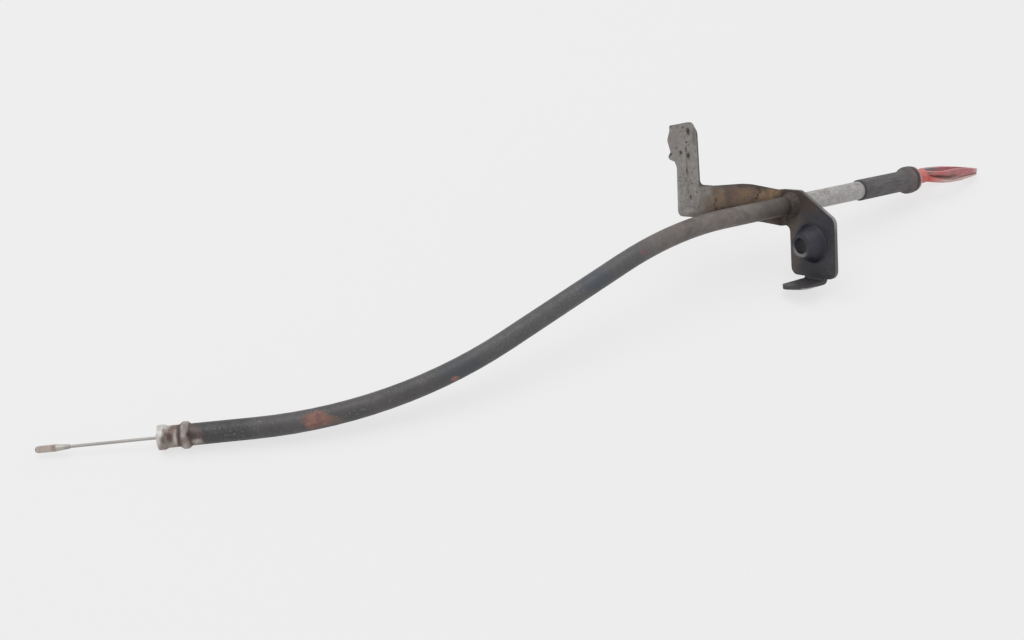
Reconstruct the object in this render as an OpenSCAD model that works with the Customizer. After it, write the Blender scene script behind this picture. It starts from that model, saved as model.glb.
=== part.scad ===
// Engine oil dipstick seated in its bent steel guide tube, lying as it comes to rest.
// Millimetres, +Z up. The tube is laid out from its lower mouth as straights and bends,
// every fitting hangs on a station of that route, and the whole is then set down on the
// three places that touch the bench: the tube's bead, the bracket's tab and the handle.

/* [Guide tube] */
// Outside diameter of the tube
tube_od = 10; // [8:0.5:12]
// Wall of the tube
tube_wall = 1; // [0.8:0.1:1.4]
// Straight length from the mouth to the first bend
lower_len = 42.4; // [36:0.2:60]
// Centreline radius of the first bend
bend1_r = 240; // [180:5:300]
// Angle of the first bend
bend1_a = 29.5; // [20:0.5:36]
// Straight length between the bends
mid_len = 70; // [50:1:100]
// Centreline radius of the second bend
bend2_r = 160; // [120:5:220]
// Angle of the second bend
bend2_a = 23; // [16:0.5:28]
// Turn of the second bend's plane from the first's, about the tube
bend2_turn = -120; // [-130:1:-110]
// Straight length from the second bend to the upper end
upper_len = 138.4; // [125:0.2:170]

/* [Lower end of the tube] */
// Diameter of the flared lip at the mouth
lip_od = 11.4; // [10.8:0.1:13]
// Length of the lip's land
lip_len = 2.6; // [1.5:0.1:4]
// Diameter of the rolled bead
bead_od = 12.4; // [11.6:0.1:14]
// Length of the bead's land
bead_land = 2; // [1.5:0.1:3]
// Distance from the mouth to the middle of the bead
bead_at = 12; // [10:0.5:16]
// Length of each slope of the lip and the bead
roll_len = 1.6; // [1:0.1:2.5]

/* [Bracket] */
// Thickness of the bracket's sheet
sheet = 2; // [1.5:0.1:2.5]
// Inside radius of the bracket's main fold
fold_r = 2; // [1.5:0.1:3]
// Distance from the second bend to the plate
plate_at = 47.5; // [40:0.5:60]
// Turn of the bracket about the tube, from the second bend's plane
bracket_turn = 72; // [62:1:82]
// Gap that the braze fills between the tube and the bracket
braze_gap = 0.1; // [0.05:0.05:0.3]
// Reach of the plate across the tube
plate_w = 30; // [26:0.5:36]
// Distance from the tube's axis to the plate's inner edge, towards the web
plate_in = 1; // [0:0.2:2]
// Height of the plate's top above the tube's axis
plate_rise = 8; // [7.5:0.5:10]
// Depth of the plate's foot below the tube's axis
plate_drop = 37.5; // [34:0.5:44]
// Drop of the plate's sloped shoulder
shoulder_drop = 14; // [10:0.5:18]
// Corner radius of the plate
plate_round = 5; // [3:0.5:6]
// Distance from the plate to the middle of the upright arm
arm_at = 63.8; // [60:0.2:72]
// Width of the upright arm
arm_w = 13.6; // [12:0.2:18]
// Height of the arm's top above the tube's axis
arm_rise = 50.6; // [44:0.2:58]
// How far the worn head stands out beside the arm
head_out = 4.2; // [2:0.2:6]
// Length of the worn head down the arm
head_len = 18.5; // [14:0.5:24]
// Height of the web's top edge at the arm, above the tube's axis
web_rise = 18.2; // [14:0.2:20]
// Depth of the web's lower edge at the fold, below the tube's axis
web_drop = 11.4; // [9:0.2:13]

/* [Boss of the bracket] */
// Distance of the boss from the tube's axis, across the plate
boss_across = 13.8; // [13:0.1:17]
// Distance of the boss from the tube's axis, down the plate
boss_down = 19.6; // [18:0.1:22]
// Height of the boss
boss_h = 8; // [6:0.5:10]
// Radius of the boss at the plate
boss_base_r = 10.2; // [9.6:0.2:12]
// Radius of the boss's flat top
boss_top_r = 6.6; // [6:0.1:7.5]
// Diameter of the bolt hole, clear of an M8 bolt
bolt_hole = 8.5; // [8:0.1:9]

/* [Foot tab] */
// Distance from the tube's axis to the tab, across the plate
tab_at = 8.5; // [7:0.5:11]
// Width of the tab at its fold
tab_w = 14; // [11:0.5:16]
// Straight length of the tab
tab_len = 18.5; // [14:0.5:22]
// Angle of the tab's fold
tab_fold = 89; // [76:1:90]
// Inside radius of the tab's fold
tab_fold_r = 1; // [0.6:0.1:2]

/* [Boot] */
// Wall of the boot round the tube
boot_wall = 0.8; // [0.6:0.1:1.5]
// Length of the boot over the tube
boot_grip = 39; // [34:0.5:50]
// Diameter of the boot's bulb
bulb_od = 15.4; // [14.5:0.1:18]
// Length of the bulb
bulb_len = 6.2; // [5.6:0.2:10]
// Diameter of the bulb's end face
bulb_face = 13.8; // [12:0.2:14.4]
// Length of the bulb beyond the tube's upper end
bulb_over = 4; // [3:0.5:6]

/* [Dipstick] */
// Diameter of the handle's flange, against the boot
flange_od = 14.6; // [12:0.2:16]
// Thickness of the handle's flange
flange_t = 1; // [0.8:0.1:2]
// Diameter of the handle's flared foot, at the flange
foot_od = 10; // [9:0.2:12]
// Length of the flared foot, with the flange
foot_len = 7; // [5:0.5:9]
// Diameter of the handle's neck
neck_od = 7; // [6.5:0.1:8]
// Length from the boot's face to the droop in the neck
neck_len = 11.5; // [8:0.5:13]
// Angle by which the loop droops from the tube's axis
loop_droop = 3.5; // [2:0.5:8]
// Turn of the handle about the tube, from the second bend's plane
handle_turn = 75.5; // [70:0.5:86]
// Thickness of the loop's bar, in the plane of the loop
bar_w = 3.6; // [3:0.1:4.4]
// Height of the loop's bar at its broad end
bar_h = 6.8; // [6:0.1:8]
// Height of the loop's bar at its narrow end
bar_tip_h = 3; // [2.6:0.1:4.6]
// Depth of the groove round the outside of the loop
slot_deep = 1.1; // [0.6:0.1:1.6]
// Length of the loop from the droop to its end
loop_len = 45; // [40:0.5:50]
// Half width of the loop at its broad end, to the middle of the bar
loop_broad = 7.4; // [6.6:0.1:9]
// Half width of the loop at its narrow end, to the middle of the bar
loop_narrow = 2.8; // [2.6:0.1:4]
// Length of the plug inside the tube
plug_len = 18; // [15:0.5:22]
// Clearance between the plug and the tube's bore, on the radius
plug_clear = 0.3; // [0.2:0.05:0.5]
// Clearance between the seal rings and the tube's bore, on the radius
seal_clear = 0.05; // [0.02:0.01:0.1]
// Thickness of a seal ring's cord
seal_cord = 1.5; // [1.2:0.1:1.8]
// Distance from the tube's upper end to the first seal ring
seal_first = 5; // [4:0.5:7]
// Distance between the seal rings
seal_pitch = 5; // [4:0.5:6]
// Gap between the handle's foot and the boot's face
seat_gap = 0.3; // [0.3:0.05:0.6]
// Diameter of the crimped ferrule
ferrule_od = 4; // [3.4:0.1:4.4]
// Length of the ferrule in the plug
ferrule_in = 11; // [8:0.5:13]
// Length of the ferrule beyond the plug
ferrule_out = 3; // [2:0.5:5]
// Diameter of the wire
wire_d = 1.4; // [1.2:0.1:1.8]
// Length of the wire that hangs out of the mouth, up to the gauge tip
wire_out = 39.1; // [30:0.1:45]
// Diameter of the gauge tip before it is flattened
tip_d = 3.2; // [2.8:0.1:4]
// Thickness of the gauge tip across its flats
tip_flat = 2.1; // [1.8:0.1:2.6]
// Length of the gauge tip
tip_len = 15; // [12:0.5:18]
// Length of the gauge tip's taper
tip_taper = 6; // [4:0.5:8]
// Depth of the wire's seat in the gauge tip
tip_seat = 5; // [4:0.5:7]
// Turn of the gauge tip's flats about the wire
tip_turn = 25; // [0:5:90]

/* [Hidden] */
round_fn = 64;
over = 1; // length by which a cut runs past a face
bend_thin = 0.02; // loss of wall at each surface round a bend
bend_lap = 0.3; // length by which a straight runs into a bend
tube_r = tube_od / 2;
bore_r = tube_r - tube_wall;
web_x = tube_r + braze_gap; // face of the web that meets the tube
collar_r = tube_r + braze_gap * 0.6; // hole for the tube, clear of the web's face
fold_x = web_x - fold_r; // where the plate's flat part ends
arm_top = [arm_at - arm_w / 2, arm_at + arm_w / 2];
boot_r = tube_r + boot_wall;
bulb_end = upper_len + bulb_over; // boot's end face, from the second bend
foot_at = bulb_over + seat_gap; // handle's foot, from the tube's upper end
plug_r = bore_r - plug_clear;
seal_r = bore_r - seal_clear;
wire_r = wire_d / 2;
groove_r = seal_r - seal_cord; // bottom of a seal's groove

// Rigid moves as matrices, so that a station can carry both solids and points.
function move(x, y, z) = [[1, 0, 0, x], [0, 1, 0, y], [0, 0, 1, z], [0, 0, 0, 1]];
function turn_x(a) = [[1, 0, 0, 0], [0, cos(a), -sin(a), 0], [0, sin(a), cos(a), 0], [0, 0, 0, 1]];
function turn_y(a) = [[cos(a), 0, sin(a), 0], [0, 1, 0, 0], [-sin(a), 0, cos(a), 0], [0, 0, 0, 1]];
function turn_z(a) = [[cos(a), -sin(a), 0, 0], [sin(a), cos(a), 0, 0], [0, 0, 1, 0], [0, 0, 0, 1]];
function at(frame, p) = let (q = frame * [p[0], p[1], p[2], 1]) [q[0], q[1], q[2]];
function along(frame, d) = at(frame, d) - at(frame, [0, 0, 0]);
function unit(v) = v / norm(v);
// A bend starts along +Z and curves towards +X.
function bend_move(r, a) = move(r * (1 - cos(a)), 0, r * sin(a)) * turn_y(a);

// Stations of the tube's route, each heading along its own +Z.
mouth_frame = move(0, 0, 0);
bend1_frame = mouth_frame * move(0, 0, lower_len);
mid_frame = bend1_frame * bend_move(bend1_r, bend1_a);
bend2_frame = mid_frame * move(0, 0, mid_len) * turn_z(bend2_turn);
upper_frame = bend2_frame * bend_move(bend2_r, bend2_a);
end_frame = upper_frame * move(0, 0, upper_len);
// On the plate +X points away through the web and +Y up along the arm.
plate_frame = upper_frame * turn_z(bracket_turn) * move(0, 0, plate_at);
tab_frame = plate_frame * move(-tab_at - tab_w, -plate_drop, 0)
            * move(0, 0, -tab_fold_r) * turn_x(tab_fold) * move(0, 0, tab_fold_r);
handle_frame = end_frame * turn_z(handle_turn);
loop_heights = [[0, neck_od * 0.8], [6, neck_od * 0.9], [14, bar_h], [24, bar_h],
                [34, bar_h * 0.6 + bar_tip_h * 0.4], [loop_len, bar_tip_h]];
loop_frame = handle_frame * move(0, 0, foot_at + neck_len) * turn_x(loop_droop);

// Setting down: the lowest places for a given up direction, then the plane through them.
function disc_low(c, axis, r, up) = c - r * unit(up - (up * axis) * axis);
function least(points, up, i = 0, best = 0) =
    i == len(points) ? points[best]
    : least(points, up, i + 1, points[i] * up < points[best] * up ? i : best);
tab_low_points = [for (p = tab_edge()) if (p[1] < 0) at(tab_frame, [p[0], p[1], sheet])];
plate_points = [for (p = plate_edge(), z = [0, sheet]) at(plate_frame, [p[0], p[1], z])];
loop_low_points = [for (p = loop_edge(0)) at(loop_frame, [p[0], -lookup(p[1], loop_heights) / 2, p[1]])];
function bead_low(up) = disc_low([0, 0, bead_at], [0, 0, 1], bead_od / 2, up);
function tab_low(up) = least(concat(tab_low_points, plate_points), up);
function loop_low(up) = least(loop_low_points, up);
function settle(up, n) =
    n == 0 ? up
    : let (a = bead_low(up), b = tab_low(up), c = loop_low(up), s = cross(b - a, c - a))
      settle(unit(s * up > 0 ? s : -s), n - 1);
up_dir = settle(unit(along(plate_frame, [0, 1, 0])), 6);
tip_end = at(mouth_frame, [0, 0, -wire_out - tip_len]);
handle_end = at(loop_frame, [0, 0, loop_len]);
span = handle_end - tip_end;
x_dir = unit(span - (span * up_dir) * up_dir);
y_dir = cross(up_dir, x_dir);
near_side = min([for (p = concat(tab_low_points, plate_points)) p * y_dir]);
far_side = max([for (p = web_edge(), x = [web_x, web_x + sheet]) at(plate_frame, [x, p[1], -p[0]]) * y_dir]);
rest_frame = move(-(tip_end + handle_end) * x_dir / 2, -(near_side + far_side) / 2, -bead_low(up_dir) * up_dir)
             * [[x_dir[0], x_dir[1], x_dir[2], 0], [y_dir[0], y_dir[1], y_dir[2], 0],
                [up_dir[0], up_dir[1], up_dir[2], 0], [0, 0, 0, 1]];

// Points of an outline whose corners are [x, y, radius].
function corner(a, b, c, r, n) =
    let (u = unit(a - b), w = unit(c - b), half = acos(u * w) / 2,
         m = b + unit(u + w) * r / sin(half), s = b + u * r / tan(half) - m, e = b + w * r / tan(half) - m,
         from = atan2(s[1], s[0]), raw = atan2(e[1], e[0]) - from,
         sweep = raw > 180 ? raw - 360 : raw < -180 ? raw + 360 : raw)
    [for (i = [0:n]) m + r * [cos(from + sweep * i / n), sin(from + sweep * i / n)]];
function flat(p) = [p[0], p[1]];
function rounded(p, n = 6) = [for (i = [0:len(p) - 1])
    each (p[i][2] == 0 ? [flat(p[i])]
          : corner(flat(p[(i + len(p) - 1) % len(p)]), flat(p[i]), flat(p[(i + 1) % len(p)]), p[i][2], n))];

// Round bar along the tube's route, or a pipe where a bore is given. It starts at a distance
// from the mouth, and finish lengthens it past the tube's upper end. The straights run a
// little way into the bends, and drawing thins the wall slightly round each bend.
module route(r, bore = 0, start = 0, finish = 0) {
    multmatrix(mouth_frame) translate([0, 0, start]) pipe(lower_len - start + bend_lap, r, bore);
    multmatrix(bend1_frame) pipe_bend(r, bore, bend1_r, bend1_a);
    multmatrix(mid_frame) translate([0, 0, -bend_lap]) pipe(mid_len + 2 * bend_lap, r, bore);
    multmatrix(bend2_frame) pipe_bend(r, bore, bend2_r, bend2_a);
    multmatrix(upper_frame) translate([0, 0, -bend_lap]) pipe(upper_len + bend_lap + finish, r, bore);
}
module pipe(length, r, bore) {
    linear_extrude(length) ring(r, bore);
}
module pipe_bend(r, bore, bend, angle) {
    translate([bend, 0, 0]) rotate([90, 0, 0]) rotate([0, 0, 180 - angle])
        rotate_extrude(angle = angle, $fn = 2 * round_fn) translate([bend, 0])
            ring(r - bend_thin, bore > 0 ? bore + bend_thin : 0);
}
module ring(r, bore) {
    difference() {
        circle(r = r, $fn = round_fn);
        if (bore > 0) circle(r = bore, $fn = round_fn);
    }
}

// Half section of the rolled lower end, at a distance in from its outer face.
function rolled(inset) = [
    [lip_od / 2 - inset, 0], [lip_od / 2 - inset, lip_len],
    [tube_r - inset, lip_len + roll_len],
    [tube_r - inset, bead_at - bead_land / 2 - roll_len],
    [bead_od / 2 - inset, bead_at - bead_land / 2], [bead_od / 2 - inset, bead_at + bead_land / 2],
    [tube_r - inset, bead_at + bead_land / 2 + roll_len]];

module guide_tube() {
    roll_end = bead_at + bead_land / 2 + roll_len;
    wall = concat(rolled(0), [for (i = [len(rolled(0)) - 1:-1:0]) rolled(tube_wall)[i]]);
    color("#4a4a4c") {
        rotate_extrude($fn = round_fn) polygon(wall);
        route(tube_r, bore = bore_r, start = roll_end);
    }
}

// A fold in sheet that comes along -Y on z = 0 to sheet, and turns down to -Z.
module fold(angle, inner, width) {
    translate([0, 0, -inner]) rotate([0, 90, 0]) rotate([0, 0, 180])
        rotate_extrude(angle = angle, $fn = round_fn) translate([inner + bend_thin, 0])
            square([sheet - 2 * bend_thin, width]);
}

// The web and its arm: x runs back from the plate towards the lower end, y up.
function web_edge() =
    let (left = arm_top[1], right = arm_top[0], out = left + head_out)
    rounded([
        [fold_r - bend_lap, -web_drop, 0],
        [fold_r - bend_lap, plate_rise, 0],
        [arm_at * 0.38, web_rise - 3.6, 50],
        [arm_at * 0.72, web_rise - 1.6, 14],
        [right, web_rise + 0.6, 3],
        [right, arm_rise - 5.4, 6],
        [right + 3.2, arm_rise, 2.4],
        [out - 1.4, arm_rise - 0.4, 1],
        [out - 1.7, arm_rise - 2.6, 1.4],
        [out + 0.2, arm_rise - 7.4, 3.4],
        [out - 1.5, arm_rise - 13.4, 1.2],
        [out + 0.2, arm_rise - 15.6, 0.7],
        [out - 0.7, arm_rise - 17, 0.5],
        [left + 0.4, arm_rise - head_len, 1.2],
        [left - 0.7, arm_rise - head_len - 3, 2],
        [left + 0.3, 4.8, 3.4],
        [fold_r + 14, -web_drop + 4.4, 0]]);

// The plate's face: x towards the web, y up.
function plate_edge() = rounded([
    [fold_x + bend_lap, plate_rise, 0],
    [-tube_r - 2, plate_rise, 4],
    [-plate_w, plate_rise - shoulder_drop, plate_round],
    [-plate_w, -plate_drop, plate_round],
    [-tab_at - tab_w, -plate_drop, 0],
    [-tab_at, -plate_drop, 0],
    [plate_in, -plate_drop, plate_round - 1],
    [plate_in, -web_drop - 1, 3.2],
    [fold_x + bend_lap, -web_drop, 0]]);

// The boss: a thick bush that flares into the plate. Its foot is sunk in the sheet.
module boss() {
    rotate_extrude($fn = round_fn) polygon(rounded([
        [0, sheet / 2, 0], [boss_base_r + 1, sheet / 2, 0], [boss_base_r + 1, 0, 0],
        [boss_base_r, 0, 0.9], [boss_top_r, -boss_h, 1.4], [0, -boss_h, 0]]));
}

// The tab's plan, looking along its own sheet from the plate's foot.
function tab_edge() = rounded([
    [0, tab_fold_r + 2 * sheet, 0], [0, -tab_len + 5, 6], [tab_w * 0.75, -tab_len, 3.4],
    [tab_w, -tab_len + 3, 2], [tab_w, tab_fold_r + 2 * sheet, 0]]);

// Side of the folded foot: y up the plate, z through it. The sheet turns from -Y towards -Z.
function foot_turn(r, a) = [-r * sin(a), r * cos(a) - tab_fold_r];
function foot_run(r, d) = foot_turn(r, tab_fold) + d * [-cos(tab_fold), -sin(tab_fold)];
module foot_side() {
    inner = tab_fold_r;
    outer = tab_fold_r + sheet;
    steps = 8;
    polygon(concat([for (i = [0:steps]) foot_turn(outer, tab_fold * i / steps)],
                   [foot_run(outer, tab_len), foot_run(inner, tab_len)],
                   [for (i = [steps:-1:0]) foot_turn(inner, tab_fold * i / steps)]));
}
module foot_tab() {
    intersection() {
        // Profile drawn in (y, z) and drawn out along x.
        multmatrix([[0, 0, 1, 0], [1, 0, 0, 0], [0, 1, 0, 0], [0, 0, 0, 1]]) linear_extrude(tab_w) foot_side();
        translate([0, 0, -tab_fold_r]) rotate([tab_fold, 0, 0]) translate([0, 0, tab_fold_r - tab_len])
            linear_extrude(2 * tab_len + sheet) polygon(tab_edge());
    }
}

module bracket() {
    color("#6b665f") multmatrix(plate_frame) difference() {
        union() {
            translate([web_x, 0, 0]) rotate([0, 90, 0]) linear_extrude(sheet) polygon(web_edge());
            translate([fold_x, -web_drop, 0]) rotate([0, 0, 90]) fold(90, fold_r, web_drop + plate_rise);
            linear_extrude(sheet) polygon(plate_edge());
            translate([-boss_across, -boss_down, 0]) boss();
            translate([-tab_at - tab_w, -plate_drop, 0]) foot_tab();
        }
        translate([0, 0, -fold_r - sheet]) cylinder(h = fold_r + 2 * sheet + over, r = collar_r, $fn = round_fn);
        translate([-boss_across, -boss_down, -boss_h - over])
            cylinder(h = boss_h + sheet + 2 * over, r = bolt_hole / 2, $fn = round_fn);
    }
}

// Braze run in between the tube and the web, along both sides, and round the tube at the plate.
module braze_seam() {
    near = 20;
    far = 38;
    fillet = 1;
    collar = 4.2;
    seam_len = arm_top[0] - fold_r - 8;
    color("#7a5c3c") multmatrix(plate_frame) difference() {
        union() {
            for (side = [0, 1]) mirror([0, side, 0]) translate([0, 0, -fold_r - seam_len * (1 - side * 0.6)])
                linear_extrude(seam_len * (1 - side * 0.6)) polygon([
                    [tube_r * cos(near), tube_r * sin(near)], [tube_r * cos(far), tube_r * sin(far)],
                    [web_x, tube_r * sin(far) + fillet], [web_x, tube_r * sin(near)]]);
            difference() {
                translate([0, 0, -collar]) cylinder(h = collar, r1 = tube_r, r2 = tube_r + collar / 2, $fn = round_fn);
                translate([fold_x, -tube_od, -collar - over]) cube([tube_od, 2 * tube_od, collar + 2 * over]);
            }
        }
        translate([0, 0, -arm_at]) cylinder(h = arm_at + over, r = tube_r, $fn = round_fn);
    }
}

module top_boot() {
    start = -boot_grip;
    swell = bulb_over - bulb_len;
    color("#2b2a2b") multmatrix(end_frame) difference() {
        rotate_extrude($fn = round_fn) polygon(rounded([
            [0, start, 0], [boot_r, start, 0.5], [boot_r, swell, 1],
            [bulb_od / 2, swell + bulb_len * 0.22, 2], [bulb_od / 2, bulb_over - bulb_len * 0.16, 1.6],
            [bulb_face / 2, bulb_over, 0], [0, bulb_over, 0]]));
        translate([0, 0, start - over]) cylinder(h = boot_grip + over, r = tube_r, $fn = round_fn);
        cylinder(h = bulb_over + over, r = bore_r, $fn = round_fn);
    }
}

// Outline of the loop at a distance in from its outer edge: a broad and a narrow arc, with
// straight sides that touch both.
function loop_edge(inset, n = 16) =
    let (broad = loop_broad + bar_w / 2 - inset, narrow = loop_narrow + bar_w / 2 - inset,
         broad_y = bar_w / 2 + loop_broad, narrow_y = loop_len - bar_w / 2 - loop_narrow,
         lean = asin((broad - narrow) / (narrow_y - broad_y)))
    concat([for (i = [0:n]) let (a = lean + (180 - 2 * lean) * i / n) [narrow * cos(a), narrow_y + narrow * sin(a)]],
           [for (i = [0:n]) let (a = 180 - lean + (180 + 2 * lean) * i / n) [broad * cos(a), broad_y + broad * sin(a)]]);

// The finger loop: a ring in the XZ plane whose bar is lower towards the end, with a groove
// round its outside.
module loop() {
    top = [for (p = loop_heights) [p[0], p[1] / 2]];
    low = [for (i = [len(loop_heights) - 1:-1:0]) [loop_heights[i][0], -loop_heights[i][1] / 2]];
    slot_end = loop_len + over;
    difference() {
        intersection() {
            loop_plan(0, bar_w, bar_h);
            loop_side(concat(top, low));
        }
        intersection() {
            difference() {
                loop_plan(-over, bar_w, bar_h);
                loop_plan(slot_deep, bar_w, bar_h + over);
            }
            loop_side([[0.5, 1.2], [6.7, 0.6], [15, 0], [26, -0.7], [slot_end, -0.1],
                       [slot_end, -0.7], [26, -1.7], [15, -2.2], [6.7, -1.3], [0.5, 0.6]]);
        }
    }
}
module loop_plan(inset, inner, height) {
    rotate([90, 0, 0]) translate([0, 0, -height / 2]) linear_extrude(height) difference() {
        polygon(loop_edge(inset));
        polygon(loop_edge(inner));
    }
}
// A side view of the loop, [distance along it, height], drawn out across its width.
module loop_side(points) {
    multmatrix([[0, 0, 1, 0], [0, 1, 0, 0], [1, 0, 0, 0], [0, 0, 0, 1]])
        translate([0, 0, -2 * loop_broad]) linear_extrude(4 * loop_broad) polygon(points);
}

module handle() {
    color("#c0474c") difference() {
        union() {
            multmatrix(handle_frame) {
                translate([0, 0, foot_at]) {
                    cylinder(h = flange_t, r = flange_od / 2, $fn = round_fn);
                    translate([0, 0, flange_t])
                        cylinder(h = foot_len - flange_t, r1 = foot_od / 2, r2 = neck_od / 2, $fn = round_fn);
                    cylinder(h = neck_len, r = neck_od / 2, $fn = round_fn);
                    translate([0, 0, neck_len]) sphere(r = neck_od / 2, $fn = round_fn);
                }
                translate([0, 0, -plug_len]) cylinder(h = plug_len + foot_at + over / 2, r = plug_r, $fn = round_fn);
            }
            multmatrix(loop_frame) loop();
        }
        multmatrix(end_frame) {
            for (i = [0, 1]) seal_groove(seal_first + i * seal_pitch);
            translate([0, 0, -plug_len - over]) cylinder(h = ferrule_in + over, r = ferrule_od / 2, $fn = round_fn);
        }
    }
}

// Square groove for a seal ring, at a depth below the tube's upper end.
module seal_groove(depth) {
    translate([0, 0, -depth - seal_cord / 2]) difference() {
        cylinder(h = seal_cord, r = plug_r + over, $fn = round_fn);
        translate([0, 0, -over]) cylinder(h = seal_cord + 2 * over, r = groove_r, $fn = round_fn);
    }
}

module seal_ring(depth) {
    color("#1d1d1e") multmatrix(end_frame) translate([0, 0, -depth])
        rotate_extrude($fn = round_fn) translate([seal_r - seal_cord / 2, 0]) circle(r = seal_cord / 2, $fn = round_fn);
}
module seal_ring_upper() { seal_ring(seal_first); }
module seal_ring_lower() { seal_ring(seal_first + seal_pitch); }

module wire_ferrule() {
    color("#a9a9a6") multmatrix(end_frame) translate([0, 0, -plug_len - ferrule_out]) difference() {
        cylinder(h = ferrule_in + ferrule_out, r = ferrule_od / 2, $fn = round_fn);
        translate([0, 0, -over]) cylinder(h = ferrule_in + ferrule_out - 1 + over, r = wire_r, $fn = round_fn);
    }
}

// The wire runs from the ferrule down the middle of the tube and out of its mouth.
module dipstick_wire() {
    color("#9b968f") route(wire_r, start = -wire_out - tip_seat, finish = ferrule_in - plug_len - 1);
}

module gauge_tip() {
    body = tip_len - tip_taper;
    color("#b0978a") multmatrix(mouth_frame) translate([0, 0, -wire_out - tip_len]) difference() {
        rotate_extrude($fn = round_fn) polygon(rounded([
            [0, 0, 0], [tip_d / 2, 0, tip_d * 0.45], [tip_d / 2, body, 2], [wire_r + 0.25, tip_len, 0], [0, tip_len, 0]]));
        translate([0, 0, tip_len - tip_seat]) cylinder(h = tip_seat + over, r = wire_r, $fn = round_fn);
        rotate([0, 0, tip_turn]) for (side = [0, 1]) mirror([0, side, 0])
            translate([-tip_d, tip_flat / 2, -over]) cube([2 * tip_d, tip_d, body + over]);
    }
}

multmatrix(rest_frame) guide_tube();
multmatrix(rest_frame) bracket();
multmatrix(rest_frame) braze_seam();
multmatrix(rest_frame) top_boot();
multmatrix(rest_frame) handle();
multmatrix(rest_frame) seal_ring_upper();
multmatrix(rest_frame) seal_ring_lower();
multmatrix(rest_frame) wire_ferrule();
multmatrix(rest_frame) dipstick_wire();
multmatrix(rest_frame) gauge_tip();
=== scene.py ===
# Engine oil dipstick in its bent guide tube, lying on a pale bench.
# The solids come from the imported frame, and this script adds their finishes: black enamel worn
# through to steel, a heat-stained brazed bracket, a rubber boot and a faded red handle.
import math

import bmesh
import bpy
from mathutils import Euler, Matrix, Vector

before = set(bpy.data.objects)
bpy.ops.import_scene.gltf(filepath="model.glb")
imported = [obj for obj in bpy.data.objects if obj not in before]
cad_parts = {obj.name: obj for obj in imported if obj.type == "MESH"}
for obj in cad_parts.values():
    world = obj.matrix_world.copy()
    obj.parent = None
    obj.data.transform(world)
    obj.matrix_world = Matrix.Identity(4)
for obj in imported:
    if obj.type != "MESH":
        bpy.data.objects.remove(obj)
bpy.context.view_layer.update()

# The frame is in metres, and every pattern here is laid out in millimetres.
MM_PER_M = 1000

# The places that the finishes are laid out from, in mm, with their directions.
# The tube's mouth: Z up the tube.
MOUTH = (-217.533, 5.083, 5.763)
MOUTH_X = (0.270508, 0.885903, 0.376832)
MOUTH_Z = (0.951400, -0.305842, 0.036051)
# The bracket's plate: X away through the web, Y up the arm, Z up the tube.
PLATE = (120.706, 8.537, 31.587)
PLATE_X = (-0.168620, 0.859259, -0.482951)
PLATE_Z = (0.980182, 0.094487, -0.174116)
# The finger loop: X across it, Y through its thickness, Z to its end.
LOOP = (225.292, 18.619, 13.008)
LOOP_X = (-0.161958, 0.888348, -0.429660)
LOOP_Z = (0.971389, 0.066879, -0.227883)
# The upper end of the tube, inside the boot, with the plate's directions.
UPPER_END = (209.805, 17.126, 15.759)
# Both ways along the Z of each place: up the tube and back down.
UP_TUBE = (0, 0, 1)
DOWN_TUBE = (0, 0, -1)


# Colours and nodes.
def linear(code):
    """An sRGB hex colour as linear RGBA."""
    parts = [int(code[i:i + 2], 16) / 255 for i in (1, 3, 5)]
    return [c / 12.92 if c <= 0.04045 else ((c + 0.055) / 1.055) ** 2.4 for c in parts] + [1.0]


def add(tree, kind, inputs=None, **settings):
    """Adds a node with its settings; inputs holds values, or sockets to link from."""
    node = tree.nodes.new(kind)
    for key, value in settings.items():
        setattr(node, key, value)
    for key, value in (inputs or {}).items():
        if isinstance(value, bpy.types.NodeSocket):
            tree.links.new(value, node.inputs[key])
        else:
            node.inputs[key].default_value = value
    return node


def new_finish(name, **shader):
    """A material with its shader's constants set, and where its surface lies on the bench in mm."""
    finish = bpy.data.materials.new(name)
    finish.use_nodes = True
    tree = finish.node_tree
    surface = tree.nodes["Principled BSDF"]
    for key, value in shader.items():
        surface.inputs[key.replace("_", " ")].default_value = value
    here = add(tree, "ShaderNodeTexCoord").outputs["Object"]
    bench = add(tree, "ShaderNodeMapping", {"Vector": here, "Scale": (MM_PER_M,) * 3}).outputs[0]
    return finish, tree, surface, bench


def feed(tree, surface, **sockets):
    """Links each named socket of the shader to the pattern that it takes."""
    for key, pattern in sockets.items():
        tree.links.new(pattern, surface.inputs[key.replace("_", " ")])


def axes_of(x_axis, z_axis):
    """The turn that takes the bench's directions to those of a place on the part."""
    x, z = Vector(x_axis).normalized(), Vector(z_axis).normalized()
    return Matrix((x, z.cross(x), z))


def seen_from(tree, bench, origin, x_axis, z_axis):
    """The bench's millimetres, turned into those of a place on the part."""
    turn = axes_of(x_axis, z_axis)
    return add(tree, "ShaderNodeMapping", {"Vector": bench, "Location": -(turn @ Vector(origin)),
                                           "Rotation": turn.to_euler()}).outputs[0]


# Masks, from 0 to 1, with the noise settings that all the blotches and all the edges share.
BLOTCH_ROUGHNESS = 0.62
EDGE_ROUGHNESS = 0.6
EDGE_DETAIL = 4.0


def blotches(tree, place, size, start, end, seed, detail=5.0, stretch=(1, 1, 1)):
    """Cloudy blotches about size mm across, from 0 where the cloud is at start to 1 where it is
    at end, and longer along an axis whose stretch is small."""
    laid = add(tree, "ShaderNodeMapping", {"Vector": place, "Scale": stretch}).outputs[0]
    cloud = add(tree, "ShaderNodeTexNoise",
                {"Vector": laid, "W": seed, "Scale": 1.0 / size, "Detail": detail,
                 "Roughness": BLOTCH_ROUGHNESS}, noise_dimensions="4D").outputs["Fac"]
    return add(tree, "ShaderNodeMapRange", {"Value": cloud, "From Min": start, "From Max": end},
               interpolation_type="SMOOTHSTEP").outputs[0]


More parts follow.
